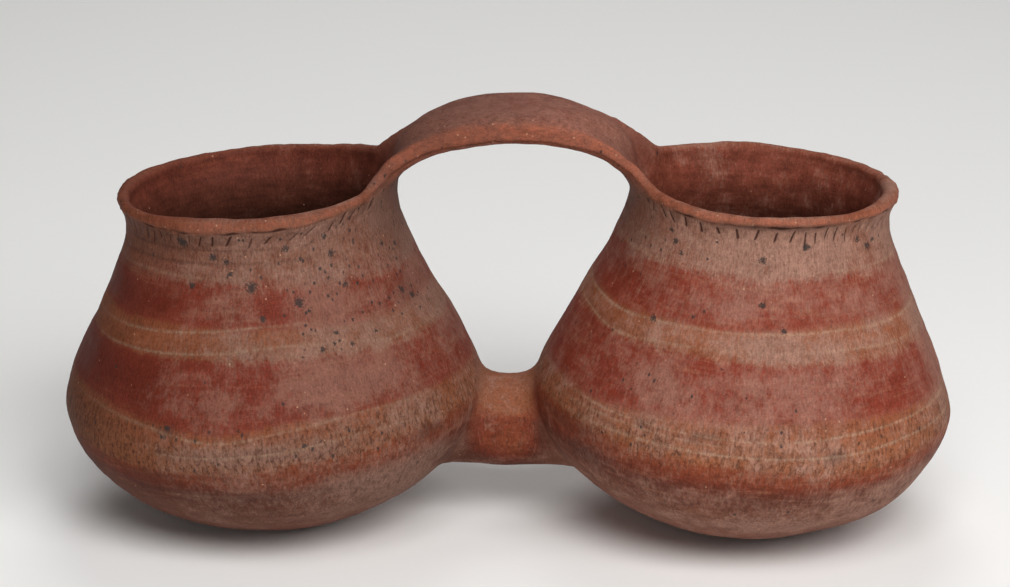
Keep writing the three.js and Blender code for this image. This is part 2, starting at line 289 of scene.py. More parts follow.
def mix(a, b, share):
    """a at share 0, b at share 1, and a straight line between."""
    return a + (b - a) * share


def signed_power(x, power):
    """The sign of x times the size of x raised to a power."""
    return np.sign(x) * np.abs(x) ** power


def bezier(a, b, c, d, count):
    """A cubic Bezier curve: the four points weighted by the Bernstein polynomials of t from 0 to 1."""
    t = np.linspace(0, 1, count).reshape((count,) + (1,) * np.ndim(a))
    s = 1 - t
    return s**3 * a + 3 * s**2 * t * b + 3 * s * t**2 * c + t**3 * d


def round_the_jar(turn, values):
    """Values given at TURNS, at any turn in degrees: cubic Hermite curves with the slopes of their
    neighbours. The back mirrors the front."""
    places, values = np.array(TURNS, float), np.array(values, float)
    slope = np.gradient(values, places)
    turn = -np.abs(turn)
    i = np.clip(np.searchsorted(places, turn) - 1, 0, len(places) - 2)
    width = places[i + 1] - places[i]
    t = (turn - places[i]) / width
    start = (1 + 2 * t) * (1 - t) ** 2 * values[i] + t * (1 - t) ** 2 * width * slope[i]
    return start + t**2 * (3 - 2 * t) * values[i + 1] + t**2 * (t - 1) * width * slope[i + 1]


def stepwise(x, places, values):
    """Straight lines through the values at the places, where both may be arrays like x. Beyond the
    last places the line goes on at a slope of 1."""
    result = values[0] + np.minimum(x - places[0], 0) + np.maximum(x - places[-1], 0)
    for low, high, start, end in zip(places[:-1], places[1:], values[:-1], values[1:]):
        result = result + np.clip((x - low) / (high - low), 0, 1) * (end - start)
    return result


def wall_section(jar):
    """The section of a jar's wall as radius and height: three Bezier curves up the outside, the half
    circle of the lip, and three Bezier curves down the inside. Returns it with the distance along it,
    counted from the crest of the lip, and that distance at the widest line of the belly."""
    belly, high = jar["belly_radius"], jar["belly_height"]
    neck, lip = jar["neck_radius"], jar["lip_radius"]
    neck_height = jar["crest_height"] - jar["neck_below_crest"]
    lip_height = jar["crest_height"] - LIP / 2
    lip_rise = lip_height - neck_height
    shoulder = neck_height - high
    low_pull, high_pull = jar["shoulder_low"] * shoulder, jar["shoulder_high"] * shoulder
    in_belly, in_neck, in_lip = belly - WALL, neck - WALL, lip - LIP
    in_height = neck_height - LIP
    curves = (
        ((0, 0), (jar["base_width"] * belly, 0), (belly, high * (1 - jar["base_curl"])), (belly, high)),
        ((belly, high), (belly, high + low_pull), (neck, neck_height - high_pull), (neck, neck_height)),
        ((neck, neck_height), (neck, neck_height + 0.5 * lip_rise),
         (lip, lip_height - 0.35 * lip_rise), (lip, lip_height)),
        None,
        ((in_lip, lip_height), (in_lip, lip_height - 0.4 * lip_rise),
         (in_neck, in_height + 0.6 * lip_rise), (in_neck, in_height)),
        ((in_neck, in_height), (in_neck, in_height - high_pull),
         (in_belly, high + low_pull), (in_belly, high)),
        ((in_belly, high), (in_belly, mix(high, BASE, jar["base_curl"])),
         (jar["base_width"] * in_belly, BASE), (0, BASE)),
    )
    turn = np.linspace(0, math.pi, CURVE_STEPS)
    round_lip = np.stack([np.cos(turn), np.sin(turn)], -1) * LIP / 2 + (lip - LIP / 2, lip_height)
    pieces = [
        round_lip if c is None else bezier(*(np.array(p, float) for p in c), CURVE_STEPS)
        for c in curves
    ]
    line = np.concatenate([pieces[0]] + [p[1:] for p in pieces[1:]])
    along = np.concatenate([[0], np.cumsum(np.linalg.norm(np.diff(line, axis=0), axis=1))])
    ends = np.cumsum([0] + [CURVE_STEPS - 1] * len(pieces))
    crest = (along[ends[3]] + along[ends[4]]) / 2
    return line, along - crest, along[ends[1]] - crest


def shape_of(jar):
    """A jar with its section, the depth that is worn off its foot, and its two holes."""
    line, along, belly_row = wall_section(jar)
    lean = math.radians(jar["lean"])
    outside = line[:CURVE_STEPS]
    ground = np.min(outside[:, 1] * math.cos(lean) - outside[:, 0] * math.sin(lean)) + FOOT_WEAR
    web = dict(row=belly_row - jar["web_below_belly"], half_height=WEB_ROOT_HEIGHT / 2,
               half_columns=WEB_COLUMNS, half_angle=WEB_ROOT_WIDTH / 2 / jar["belly_radius"])
    strap = dict(row=0.0, half_height=STRAP_ROOT_DEPTH, half_columns=STRAP_COLUMNS,
                 half_angle=math.radians(STRAP_ROOT_ANGLE))
    return dict(jar, line=line, along=along, lean_angle=lean, ground=ground, web=web, strap=strap)


def wall_point(jar, row, angle):
    """Points on a jar's wall. The row gives radius and height on the section, and the angle turns them
    round the axis. The rim rises towards the handle and is tilted, the jar leans about the middle of its
    belly, and what would be under the ground is worn flat."""
    radius = np.interp(row, jar["along"], jar["line"][:, 0])
    height = np.interp(row, jar["along"], jar["line"][:, 1])
    near = smooth(np.cos(angle), math.cos(math.radians(RIM_RISE_ANGLE)), 1.0)
    tilt = radius * np.cos(angle) * math.tan(math.radians(jar["rim_tilt"]))
    rim = smooth(height, jar["crest_height"] - RIM_RISE_DEPTH, jar["crest_height"])
    up = height + rim * (RIM_RISE * near + tilt) - jar["belly_height"]
    inwards = radius * np.cos(angle)
    sin, cos = math.sin(jar["lean_angle"]), math.cos(jar["lean_angle"])
    x = inwards * cos - up * sin
    z = inwards * sin + up * cos + jar["belly_height"] * cos - jar["ground"]
    return np.stack([jar["side"] * (AXIS_SPACING / 2 - x), radius * np.sin(angle), np.maximum(z, 0)], -1)


def crowded(low, high, count):
    """Rows from low to high that crowd at the incised lines and under the lip: equal steps of the
    running sum of a density of 1 plus a bell over each line."""
    fine = np.linspace(low, high, 4000)
    density = 1 + sum(2.4 * np.exp(-(((fine - line) / 1.2) ** 2)) for line in LINES + (SEAM_ROW,))
    density = density + 0.8 * np.exp(-((fine / 12.0) ** 2))
    total = np.concatenate([[0], np.cumsum((density[1:] + density[:-1]) / 2)])
    return np.interp(np.linspace(0, total[-1], count + 1)[:-1], total, fine)


def wall_rows(jar):
    """The rows of a jar's grid, and the indices of the rows on which the holes begin and end."""
    web, strap = jar["web"], jar["strap"]
    web_low, web_high = web["row"] - web["half_height"], web["row"] + web["half_height"]
    spans = [
        np.linspace(jar["along"][0], web_low, BASE_ROWS, endpoint=False),
        crowded(web_low, web_high, WEB_ROWS),
        crowded(web_high, -strap["half_height"], SHOULDER_ROWS),
        crowded(-strap["half_height"], strap["half_height"], LIP_ROWS),
        np.linspace(strap["half_height"], jar["along"][-1], INSIDE_ROWS + 1),
    ]
    starts = np.cumsum([0] + [len(s) for s in spans])
    return np.concatenate(spans), starts


def around_hole(hole, row, column):
    """Draws the square edge of a hole in the grid to an ellipse of the hole's own size. The pull fades
    out over the hole's own width around it."""
    column_angle = 2 * math.pi / COLUMNS
    a = (row - hole["row"]) / hole["half_height"]
    b = column / hole["half_columns"]
    square = np.maximum(np.abs(a), np.abs(b))
    near = 1 - smooth(square, 1.0, 2.0)
    rounding = mix(1.0, square / np.maximum(np.hypot(a, b), 1e-9), near)
    stretch = mix(1.0, hole["half_angle"] / (hole["half_columns"] * column_angle), near)
    rounded_row = hole["row"] + a * rounding * hole["half_height"]
    return near, rounded_row, column * column_angle * rounding * stretch


def grid_slant(row, column, jar):
    """How far the grid's columns slant at the nicks by themselves, drawn to the handle's root: in
    columns for each millimetre up the wall."""
    middle = np.argmin(np.abs(row[:, 0] - NICK_MIDDLE))
    low, high = slice(middle - 1, middle), slice(middle + 1, middle + 2)
    drawn = [around_hole(jar["strap"], row[k], column[k])[2][0] for k in (low, high)]
    rise = row[middle + 1, 0] - row[middle - 1, 0]
    return (drawn[1] - drawn[0]) / rise / (2 * math.pi / COLUMNS)


def nick_pull(row, column, jar, slant):
    """How far the columns move towards their nick, in columns: the two outer ones of each three close in
    on the middle one, which is slanted and a little out of step. It fades out away from the nicks and
    before the handle's root. Returns it with the pressed-in share of each point."""
    nick = (np.arange(COLUMNS) // 3) % NICKS
    part = np.arange(COLUMNS) % 3 - 1
    slip = rng.uniform(-0.5, 0.5, NICKS)[nick]
    lean = (slant + rng.uniform(-NICK_SWAY, NICK_SWAY, NICKS)[nick]) * -jar["side"]
    lean = lean - grid_slant(row, column, jar)[nick * 3 + 1]
    drop = rng.uniform(-0.9, 0.9, NICKS)[nick]
    length = NICK_LENGTH * rng.uniform(0.7, 1.25, NICKS)[nick]
    force = rng.choice([0.7, 0.85, 1.0, 1.0, 1.0], NICKS)[nick]
    offset = row - NICK_MIDDLE - drop
    zone = 1 - smooth(np.abs(row - NICK_MIDDLE), 3.3, 5.3)
    clear = smooth(np.abs(column) / STRAP_COLUMNS, 0.8, 1.05)
    moved = zone * clear * (-NICK_CLOSING * part + slip + lean * offset)
    pressed = (part == 0) * clear * force * (1 - smooth(np.abs(offset), 0.3 * length, 0.55 * length))
    return moved, pressed


def patches(turn, row, table):
    """How much of the soft patches lies at each place, from 0 to 1: each is its strength times
    exp(-d ** 3), where d is 1 on an ellipse of its half turn and half height."""
    clear = np.ones_like(row)
    for middle, height, half_turn, half_height, strength in table:
        around = (turn - middle + 180.0) % 360.0 - 180.0
        distance = np.hypot(around / half_turn, (row - height) / half_height)
        clear = clear * (1 - strength * np.exp(-(distance**3)))
    return 1 - clear


def back_patches(share):
    """Patches for the back of a jar, drawn at random: most of them lie on the red bands."""
    turn = rng.uniform(20, 160, BACK_PATCHES)
    row = rng.choice([-35.0, -67.0, -90.0, -112.0], BACK_PATCHES)
    size = rng.uniform(7, 20, BACK_PATCHES)
    strength = share * rng.uniform(0.4, 1.0, BACK_PATCHES)
    return list(zip(turn, row, size, 0.45 * size, strength))


def wall_finish(jar, paint, row, lined_row, angle, nick):
    """The finish of each point of a jar's wall. The band is the row as it would be at the front, the
    line is how much of an incised line lies there, and the others are amounts from 0 to 1."""
    turn = np.degrees(angle)
    band = stepwise(row, [round_the_jar(turn, e) for e in paint["edges"]], EDGES)
    line = np.zeros_like(row)
    for height, strength in zip(LINES, paint["line_strength"]):
        line += round_the_jar(turn, strength) * np.exp(-(((lined_row - height) / LINE_HALF_WIDTH) ** 2))
    outside = 1 - smooth(row, -1.0, 4.0)
    beside_handle = smooth(np.abs(turn), STRAP_ROOT_ANGLE + 3.0, STRAP_ROOT_ANGLE + 21.0)
    # The groove under the lip's bead, pressed in and darkened as painted shade.
    seam_row = SEAM_ROW + 0.3 * np.sin(angle * 23) + 0.2 * np.sin(angle * 41)
    lip_groove_shade = np.exp(-(((row - seam_row) / SEAM_HALF_WIDTH) ** 2)) * beside_handle
    broken = np.sin(angle * 7 + jar["side"]) + np.sin(angle * 19 + 2) + np.sin(angle * 37)
    lip_groove_shade = lip_groove_shade * np.clip(0.4 + 0.25 * broken, 0, 1)
    # The grey film: dust, with painted sheen round the jar and painted light from the floor in its
    # patches.
    bloom = round_the_jar(turn, paint["bloom"]) + patches(turn, row, paint["dust_and_light_patches"])
    wrap = np.interp(row, jar["along"], jar["line"][:, 0])
    wrap = mix(wrap, GRAIN_RADIUS, smooth(row, -150, -118))
    return dict(
        # The depth inside is scaled for the painted shade that darkens it.
        band=np.minimum(band, 0.0), depth=np.maximum(row, 0.0) * paint["inside_shading"],
        nick=np.maximum(nick, lip_groove_shade), line=line * outside, web_top=np.zeros_like(row),
        bloom=np.clip(bloom, 0, 1) * mix(paint["inside_bloom"], 1.0, outside),
        fresh=patches(turn, row, paint["fresh"]) * outside,
        # Dark patches: stains, and painted shade by the handle's roots and under the lip.
        stain_and_shade=patches(turn, row, paint["stain_and_shade"]) * outside,
        speckled=patches(turn, row, paint["speckled"]) * outside,
        worn=np.exp(-(((row - WORN_ROW) / WORN_HALF_WIDTH) ** 2)), strap=np.zeros_like(row),
        bead=smooth(row, -6.0, -4.8) * (1 - smooth(row, -2.5, 1.5)) * beside_handle,
        wrap=np.stack([wrap * np.cos(angle), wrap * np.sin(angle), row], -1),
    )


class Clay:
    """The points, faces and finish of the clay as they are made."""

    def __init__(self):
        self.points, self.faces, self.finish, self.count = [], [], [], 0

    def add_points(self, points, finish):
        """Adds a grid of points with its finish and returns their indices in the shape of the grid."""
        shape = points.shape[:-1]
        count = int(np.prod(shape))
        self.points.append(points.reshape(count, 3))
        self.finish.append({
            k: np.broadcast_to(v, shape + (3,) if k == "wrap" else shape).reshape((count, -1))
            for k, v in finish.items()
        })
        index = self.count + np.arange(count).reshape(shape)
        self.count += count
        return index


def add_jar(clay, jar, paint):
    """Adds a jar's wall, a grid of rows along its section and columns round its axis, and returns the
    edges of its two holes. The rows follow the incised lines up and down, away from the holes."""
    rows, starts = wall_rows(jar)
    middle = COLUMNS // 2
    row, column = np.meshgrid(rows, np.arange(COLUMNS) - middle, indexing="ij")
    moved, pressed = nick_pull(row, column, jar, paint["nick_slant"])
    web_near, web_row, web_angle = around_hole(jar["web"], row, column + moved)
    strap_near, strap_row, strap_angle = around_hole(jar["strap"], row, column + moved)
    lined_row = np.where(web_near > 0, web_row, strap_row)
    angle = np.where(web_near > 0, web_angle, strap_angle)
    heights = [round_the_jar(np.degrees(angle), line) for line in paint["lines"]]
    low, high = UNMOVED_ROWS
    moved_row = stepwise(lined_row, (low,) + LINES + (high,), [low] + heights + [high])
    row = mix(lined_row, moved_row, (1 - web_near) * (1 - strap_near))
    finish = wall_finish(jar, paint, row, lined_row, angle, pressed)
    finish["line"] = finish["line"] * (1 - web_near) * (1 - strap_near)
    index = clay.add_points(wall_point(jar, row, angle), finish)
    index[0, :], index[-1, :] = index[0, 0], index[-1, 0]
    follow = np.roll(index, -1, axis=1)
    quads = np.stack([index[:-1], follow[:-1], follow[1:], index[1:]], -1)
    keep = np.ones(quads.shape[:2], bool)
    edges = []
    for hole, first, last in ((jar["web"], starts[1], starts[2]), (jar["strap"], starts[3], starts[4])):
        keep[first:last, middle - hole["half_columns"] : middle + hole["half_columns"]] = False
        edges.append(hole_edge(jar, hole, first, last, row, angle, finish, index))
    step = 1 if jar["side"] < 0 else -1
    body = quads[1:-1][keep[1:-1]][:, ::step]
    base_fan = quads[0][:, [0, 2, 3]][:, ::step]
    floor_fan = quads[-1][:, [0, 1, 2]][:, ::step]
    clay.faces += [body, base_fan, floor_fan]
    return edges


def hole_edge(jar, hole, first, last, row, angle, finish, index):
    """The edge of a hole, once round: indices, places, finish, the direction in which the wall runs into
    the hole, and each point's share across (round the rim) and along (from outside to inside)."""
    left, right = COLUMNS // 2 - hole["half_columns"], COLUMNS // 2 + hole["half_columns"]
    side, end = np.arange(left, right), np.arange(first, last)
    r = np.concatenate([np.full_like(side, first), end, np.full_like(side, last), end[::-1] + 1])
    c = np.concatenate([side, np.full_like(end, right), side[::-1] + 1, np.full_like(end, left)])
    row, angle = row[r, c], angle[r, c]
    across, along = angle / hole["half_angle"], (row - hole["row"]) / hole["half_height"]
    step = 0.001
    place = wall_point(jar, row, angle)
    row_ahead = row - step * along * hole["half_height"]
    ahead = wall_point(jar, row_ahead, angle - step * across * hole["half_angle"])
    direction = (ahead - place) / np.linalg.norm(ahead - place, axis=1, keepdims=True)
    return dict(index=index[r, c], place=place, direction=direction, across=across, along=along,
                finish={k: v[r, c] for k, v in finish.items()})


def tube(left, right, ring, start_reach, middle_reach, slope, steps):
    """Bezier curves from the left edge over the ring to the right edge. Each leaves its edge along the
    wall and passes the ring level or at a slope. Returns the places without the two edges, the share of
    the way from the nearer edge to the ring, and the finish carried over from the two edges."""
    level = np.array([math.cos(slope), 0.0, math.sin(slope)])
    halves = [
        bezier(edge["place"], edge["place"] + start_reach[:, None] * edge["direction"],
               ring + side * middle_reach[:, None] * level, ring, steps + 1)
        for edge, side in ((left, -1), (right, 1))
    ]
    places = np.concatenate([halves[0][1:], halves[1][-2:0:-1]])
    share = np.linspace(0, 1, steps + 1)[1:]
    share = np.concatenate([share, share[-2::-1]])[:, None]
    right_side = smooth(np.linspace(-1, 1, len(places)), -0.25, 0.25)[:, None]
    finish = {
        k: mix(v[None], right["finish"][k][None], right_side[..., None] if v.ndim > 1 else right_side)
        for k, v in left["finish"].items()
    }
    return places, share, finish


def add_tube(clay, left, right, places, finish):
    """Adds a tube's points and the quads between its rings and the two edges."""
    index = clay.add_points(places, finish)
    rings = np.concatenate([left["index"][None], index, right["index"][None]])
    follow = np.roll(rings, -1, axis=1)
    clay.faces.append(np.stack([rings[:-1], follow[:-1], follow[1:], rings[1:]], -1).reshape(-1, 4))


def add_strap(clay, left, right):
    """Adds the strap handle. The ring at its crown is a rounded rectangle, a little domed on top. The
    inside of the rims becomes its top, and the crest of the lips becomes its two worn edges."""
    across, along = left["across"], left["along"]
    ring = np.stack([
        np.zeros_like(across),
        STRAP_WIDTH / 2 * signed_power(across, STRAP_CORNER),
        STRAP_TOP - STRAP_THICKNESS / 2 + STRAP_THICKNESS / 2 * signed_power(along, STRAP_CORNER)
        - STRAP_CAMBER * across**2,
    ], -1)
    end_reach = np.where(along < 0, STRAP_REACH["under"], STRAP_REACH["top"])
    start_reach = end_reach * along**2 + STRAP_REACH["side"] * across**2
    middle_reach = mix(CROWN_REACH["under"], CROWN_REACH["top"], (1 + along) / 2)
    slope = math.radians(STRAP_SLOPE)
    places, share, finish = tube(left, right, ring, start_reach, middle_reach, slope, STRAP_STEPS)
    edge = np.exp(-(((along[None] + 0.15) / 0.62) ** 4))
    finish.update(
        nick=finish["nick"] * (1 - smooth(share, 0, 0.06)),
        band=mix(finish["band"], -12.0, smooth(share, 0, 0.5)),
        depth=finish["depth"] * (1 - smooth(share, 0, 0.5)), strap=smooth(share, 0.03, 0.4),
        worn=mix(finish["worn"], edge, smooth(share, 0, 0.5)),
        bloom=mix(finish["bloom"], 0.35, smooth(share, 0, 0.5)),
        wrap=mix(finish["wrap"], places[..., [2, 1, 0]], smooth(share, 0, 0.5)[..., None]),
    )
    add_tube(clay, left, right, places, finish)


def add_web(clay, left, right):
    """Adds the web between the bellies. The ring at its middle is an upright ellipse, and the bands of
    the jars run over it: buff on top, red in the middle and brown below."""
    across, along = left["across"], left["along"]
    ring_height = WEB_MIDDLE + WEB_HEIGHT / 2 * along
    ring = np.stack([np.zeros_like(across), WEB_WIDTH / 2 * across, ring_height], -1)
    end_reach = np.where(along < 0, WEB_REACH["under"], WEB_REACH["top"])
    start_reach = end_reach * along**2 + WEB_REACH["side"] * across**2
    middle_reach = np.full_like(across, WEB_MIDDLE_REACH)
    places, share, finish = tube(left, right, ring, start_reach, middle_reach, 0.0, WEB_STEPS)
    own_band = np.interp(places[..., 2], *WEB_BANDS)
    own_band = own_band + 3.0 * np.sin(along[None] * 5 + across[None] * 4)
    own_band = own_band + 2.5 * np.sin(places[..., 0] / 4.0 + 1.0)
    finish.update(
        band=mix(finish["band"], own_band, smooth(share, 0, 0.8)),
        web_top=smooth(places[..., 2], 45, 51) * share,
        fresh=mix(finish["fresh"], 0.75, share), bloom=mix(finish["bloom"], 0.22, share),
        wrap=mix(finish["wrap"], places, smooth(share, 0, 0.6)[..., None]),
    )
    add_tube(clay, left, right, places, finish)


def uneven(points, count, longest, shortest, size):
    """The unevenness of hand-built clay: a sum of plane waves in random directions, with lengths from
    longest to shortest, as a height over the surface."""
    direction = rng.normal(size=(count, 3))
    direction /= np.linalg.norm(direction, axis=1, keepdims=True)
    length = np.geomspace(longest, shortest, count)
    start = rng.uniform(0, 2 * math.pi, count)
    weight = size * math.sqrt(2 / count)
    return weight * np.sin(points @ (direction * (2 * math.pi / length)[:, None]).T + start).sum(1)


def relief(points, finish):
    """The height of the surface over its smooth form, in millimetres: broad and small unevenness, the
    wiping round the jars, the crumbled edge and the bead of the lip, the incised lines and the nicks. It
    fades out on the flat of the feet."""
    height = uneven(points, *BROAD_WAVES) + uneven(points, *SMALL_WAVES)
    height += uneven(points * WIPED_STRETCH, *WIPED_WAVES) * (1 - finish["strap"])
    height += finish["worn"] * uneven(points, *CRUMBLED_WAVES)
    height += BEAD_HEIGHT * finish["bead"]
    height -= LINE_DEPTH * np.abs(finish["line"])
    height -= NICK_DEPTH * finish["nick"]
    return height * smooth(points[:, 2], 0.0, 3.0)


def corner_normals(points, faces):
    """Unit normals at the points: the sum of the cross products of the diagonals of the faces around."""
    total = np.zeros_like(points)
    for group in faces:
        a, b = points[group[:, 2]] - points[group[:, 0]], points[group[:, -1]] - points[group[:, 1]]
        normal = np.cross(a, b)
        for k in range(group.shape[1]):
            np.add.at(total, group[:, k], normal)
    return total / np.maximum(np.linalg.norm(total, axis=1, keepdims=True), 1e-12)


def crusts_on(points, faces, jars):
    """For each face the dark crust that lies nearest to it, as its middle and its radius in metres. The
    crusts on the backs are drawn at random."""
    places, sizes = [], []
    for jar, paint in jars:
        turn, row, size = np.transpose(paint["crusts"])
        turn = np.append(turn, rng.uniform(15, 165, BACK_CRUSTS))
        row = np.append(row, rng.uniform(-95, -12, BACK_CRUSTS))
        places.append(wall_point(jar, row, np.radians(turn)))
        sizes.append(np.append(size, rng.uniform(0.7, 1.7, BACK_CRUSTS)))
    places, sizes = np.concatenate(places), np.concatenate(sizes)
    middles = np.concatenate([points[f].mean(1) for f in faces])
    nearest, best = np.zeros(len(middles), int), np.full(len(middles), np.inf)
    for i, (place, size) in enumerate(zip(places, sizes)):
        distance = np.linalg.norm(middles - place, axis=1) / size
        nearest = np.where(distance < best, i, nearest)
        best = np.minimum(distance, best)
    return places[nearest] * MM, sizes[nearest] * MM


def make_clay():
    """The whole piece as one closed mesh. Its finish values are attributes of its points, and each face
    knows its nearest dark crust."""
    clay = Clay()
    jars = [(shape_of(LEFT_JAR), LEFT_PAINT), (shape_of(RIGHT_JAR), RIGHT_PAINT)]
    edges = []
    for jar, paint in jars:
        fresh = list(paint["fresh"]) + back_patches(0.9)
        dust_and_light_patches = list(paint["dust_and_light_patches"]) + back_patches(0.5)
        edges.append(add_jar(clay, jar, dict(paint, fresh=fresh, dust_and_light_patches=dust_and_light_patches)))
    (left_web, left_strap), (right_web, right_strap) = edges
    add_strap(clay, left_strap, right_strap)
    add_web(clay, left_web, right_web)
    points = np.concatenate(clay.points)
    finish = {k: np.concatenate([f[k] for f in clay.finish]) for k in clay.finish[0]}
    used, kept = np.unique(np.concatenate([f.ravel() for f in clay.faces]), return_inverse=True)
    sizes = np.cumsum([0] + [f.size for f in clay.faces])
    faces = [kept[a:b].reshape(f.shape) for f, a, b in zip(clay.faces, sizes[:-1], sizes[1:])]
    points, finish = points[used], {k: v[used].squeeze() for k, v in finish.items()}
    points = points + corner_normals(points, faces) * relief(points, finish)[:, None]
    points[:, 2] = np.maximum(points[:, 2], 0.0)
    # Paleness from left to right: the clay's own colour, with painted shade and painted light.
    finish["pale"] = np.interp(points[:, 0], *PALENESS_AND_LIGHT)
    mesh = bpy.data.meshes.new("clay")
    mesh.from_pydata((points * MM).tolist(), [], [face for group in faces for face in group.tolist()])
    place, size = crusts_on(points, faces, jars)
    values = [(name, "POINT", value) for name, value in finish.items()]
    for name, domain, value in values + [("crust_place", "FACE", place), ("crust_size", "FACE", size)]:
        kind, slot = ("FLOAT_VECTOR", "vector") if value.ndim > 1 else ("FLOAT", "value")
        attribute = mesh.attributes.new(name, kind, domain)
        attribute.data.foreach_set(slot, value.astype(np.float32).ravel())
    mesh.shade_smooth()
    mesh.update()
    piece = bpy.data.objects.new("earthenware_double_jar", mesh)
    bpy.context.scene.collection.objects.link(piece)
    return piece


def linear(colour):
    """An sRGB hex value as linear red, green, blue and an alpha of 1."""
    channels = [int(colour[i : i + 2], 16) / 255 for i in (1, 3, 5)]
    return tuple(c / 12.92 if c <= 0.04045 else ((c + 0.055) / 1.055) ** 2.4 for c in channels) + (1.0,)


def add(tree, kind, inputs=None, out=0, stops=None, **settings):
    """Adds a shader node with its settings and returns one of its outputs. An input that is a socket is
    linked, any other is set, and stops are the places and colours of a ramp."""
    node = tree.nodes.new("ShaderNode" + kind)
    for name, value in settings.items():
        setattr(node, name, value)
    for socket, value in (inputs or {}).items():
        if isinstance(value, bpy.types.NodeSocket):
            tree.links.new(value, node.inputs[socket])
        else:
            node.inputs[socket].default_value = linear(value) if isinstance(value, str) else value
    if stops:
        elements = node.color_ramp.elements
        while len(elements) < len(stops):
            elements.new(1.0)
        for element, (place, colour) in zip(elements, stops):
            element.position = place
            element.color = linear(colour) if isinstance(colour, str) else (*colour, 1.0)
    return node.outputs[out]


LOWEST_BAND = -150.0

# The bare and the slipped clay from the base up, without its film of dust: row and colour. Below -112
# the base grows lighter towards the foot as painted light from the floor.
BAND_COLOURS = (
    (-150, "#74483a"), (-125, "#6c4233"), (-112, "#5e3226"), (-108, "#663022"), (-105, "#743624"),
    (-99, "#7c3f28"), (-97, "#865034"), (-90, "#875137"), (-83, "#844a31"), (-81, "#783526"),
    (-77, "#773224"), (-58, "#783325"), (-55.5, "#81482f"), (-50, "#884e34"), (-45, "#85492f"),
    (-43, "#793526"), (-38, "#783224"), (-28, "#793526"), (-25.5, "#7c4535"), (-18, "#7a4a38"),
    # -7 is darker as painted shade under the lip.
    (-10, "#744837"), (-7, "#6b4232"), (-4.5, "#78452f"), (0, "#79402f"),
)
# How much red slip, dust and dark pits there are: row and the three amounts.
WEAR_AMOUNTS = (
    (-150, (0.0, 0.12, 0.3)), (-112, (0.0, 0.1, 0.6)), (-106, (0.5, 0.0, 0.6)),
    (-99, (0.45, 0.05, 0.7)), (-97, (0.0, 0.12, 1.0)), (-86, (0.0, 0.1, 0.9)),
    (-83, (0.0, 0.14, 0.5)), (-80, (1.0, 0.12, 0.2)), (-58, (1.0, 0.15, 0.15)),
    (-55, (0.0, 0.25, 0.35)), (-45, (0.0, 0.25, 0.35)), (-42.5, (1.0, 0.15, 0.2)),
    (-29, (1.0, 0.2, 0.25)), (-25, (0.0, 0.38, 0.45)), (-8, (0.0, 0.4, 0.5)), (-3, (0.0, 0.1, 0.25)),
)
# The inside, from the lip down: depth and colour. It darkens with depth as painted shade.
INSIDE_COLOURS_AND_SHADE = ((0, "#7a4031"), (10, "#73392b"), (32, "#5f3226"), (60, "#46271c"), (120, "#382017"))
DEEPEST = 120.0

# The patterns of the surface: the vector that each follows, its stretch and its shift, the size of a
# feature in millimetres, its detail and its roughness. The strokes of burnishing are some 0.2 mm wide,
# too fine to show, so the hairs and wisps are drawn as wide as they need to be. The streaks run round
# the jars, as a wet hand wipes them.
PATTERNS = (
    ("wrap", (1.0, 1.0, 0.36), (0.0, 0.0, 0.0), 0.8, 3.0, 0.7),  # hairs
    ("wrap", (1.0, 1.0, 0.5), (0.0, 0.0, 0.0), 1.7, 4.0, 0.75),  # wisps
    ("wrap", (1.0, 1.0, 0.5), (31.0, 17.0, 5.0), 1.3, 3.0, 0.7),  # pits
    ("wrap", (0.1, 0.1, 1.0), (0.0, 0.0, 0.0), 2.4, 4.0, 0.65),  # streaks
    ("place", (1.0, 1.0, 1.0), (0.0, 0.0, 0.0), 0.8, 2.0, 0.7),  # grit
    ("place", (1.0, 1.0, 1.0), (0.0, 0.0, 0.0), 7.0, 5.0, 0.62),  # mottle
    ("place", (1.0, 1.0, 1.0), (0.0, 0.0, 0.0), 26.0, 4.0, 0.55),  # clouds
)
# The spacing of the places where a pale grain or a black speck may lie, in millimetres.
GRAIN_SPACING = 2.6
SPECK_SPACING = 2.2


